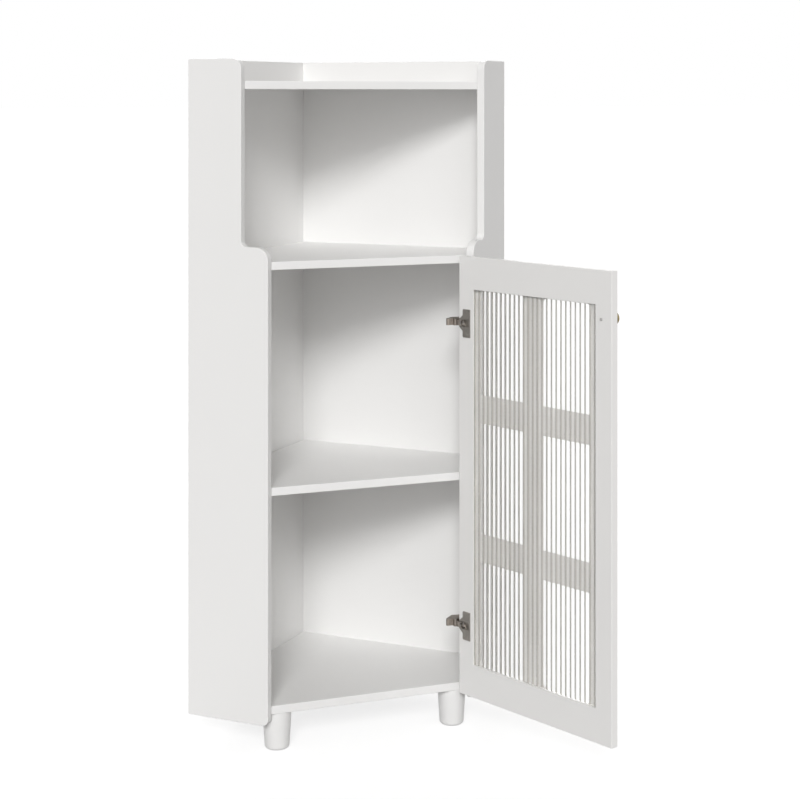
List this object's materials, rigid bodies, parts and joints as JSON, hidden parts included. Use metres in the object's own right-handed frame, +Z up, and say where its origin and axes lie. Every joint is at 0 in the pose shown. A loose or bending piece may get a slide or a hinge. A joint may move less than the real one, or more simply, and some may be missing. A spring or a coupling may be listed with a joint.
{
  "type": "corner bathroom cabinet",
  "caption": "Freestanding corner bathroom cabinet on short turned feet, with a glazed reeded door on concealed hinges below an open compartment and a rimmed top.",
  "frame": {"origin": "the cabinet's outer back corner at floor level, where the two walls of the room meet the floor", "axes": "+Z up; the front faces -Y; the two walls run forwards at 45 degrees from the origin, one towards +X and -Y, the other towards -X and -Y"},
  "size_m": [0.6485, 0.7941, 1.255],
  "materials": {
    "white_board": "white lacquered board, satin",
    "white_foot": "turned wood in white lacquer, satin",
    "beech_dowel": "raw beech",
    "reeded_glass": "clear glass, flat inside, upright reeds outside",
    "brass": "aged brass, satin",
    "nickel_steel": "nickel-plated pressed steel",
    "zinc_steel": "zinc-plated steel"
  },
  "bodies": {
    "carcass": {"left_side_panel": "white_board", "right_side_panel": "white_board", "left_back_panel": "white_board", "right_back_panel": "white_board", "top_panel": "white_board", "middle_shelf": "white_board", "lower_shelf": "white_board", "bottom_panel": "white_board", "foot_front_left": "white_foot", "foot_front_right": "white_foot", "foot_rear": "white_foot", "foot_bolts": "zinc_steel", "foot_inserts": "zinc_steel", "shelf_pins": "nickel_steel", "cam_bolts": "zinc_steel", "cam_discs": "zinc_steel", "dowels": "beech_dowel", "panel_screws": "zinc_steel", "upper_hinge_base": "nickel_steel", "lower_hinge_base": "nickel_steel", "upper_hinge_arm": "nickel_steel", "lower_hinge_arm": "nickel_steel", "upper_arm_pin": "nickel_steel", "lower_arm_pin": "nickel_steel", "base_screws": "zinc_steel", "arm_screws": "zinc_steel"},
    "upper_link": {"upper_hinge_link": "nickel_steel"},
    "lower_link": {"lower_hinge_link": "nickel_steel"},
    "door": {"door_frame": "white_board", "reeded_glass": "reeded_glass", "door_knob": "brass", "knob_screw": "zinc_steel", "upper_hinge_cup": "nickel_steel", "lower_hinge_cup": "nickel_steel", "upper_cup_pin": "nickel_steel", "lower_cup_pin": "nickel_steel", "cup_screws": "zinc_steel"}
  },
  "joints": [
    {"name": "upper_link_swing", "type": "hinge", "parent": "carcass", "child": "upper_link", "pos_m": [0.16633, -0.43039, 0.763], "axis": [0, 0, 1], "range_deg": [0, 49.7]},
    {"name": "lower_link_swing", "type": "hinge", "parent": "carcass", "child": "lower_link", "pos_m": [0.16633, -0.43039, 0.199], "axis": [0, 0, 1], "range_deg": [0, 49.7]},
    {"name": "door_swing", "type": "hinge", "parent": "upper_link", "child": "door", "pos_m": [0.17708, -0.44314, 0.763], "axis": [0, 0, 1], "range_deg": [-159.93, 0]}
  ],
  "couplings": [
    {"joint": "upper_link_swing", "follows": "door_swing", "ratio": -0.31032},
    {"joint": "lower_link_swing", "follows": "door_swing", "ratio": -0.31032}
  ]
}
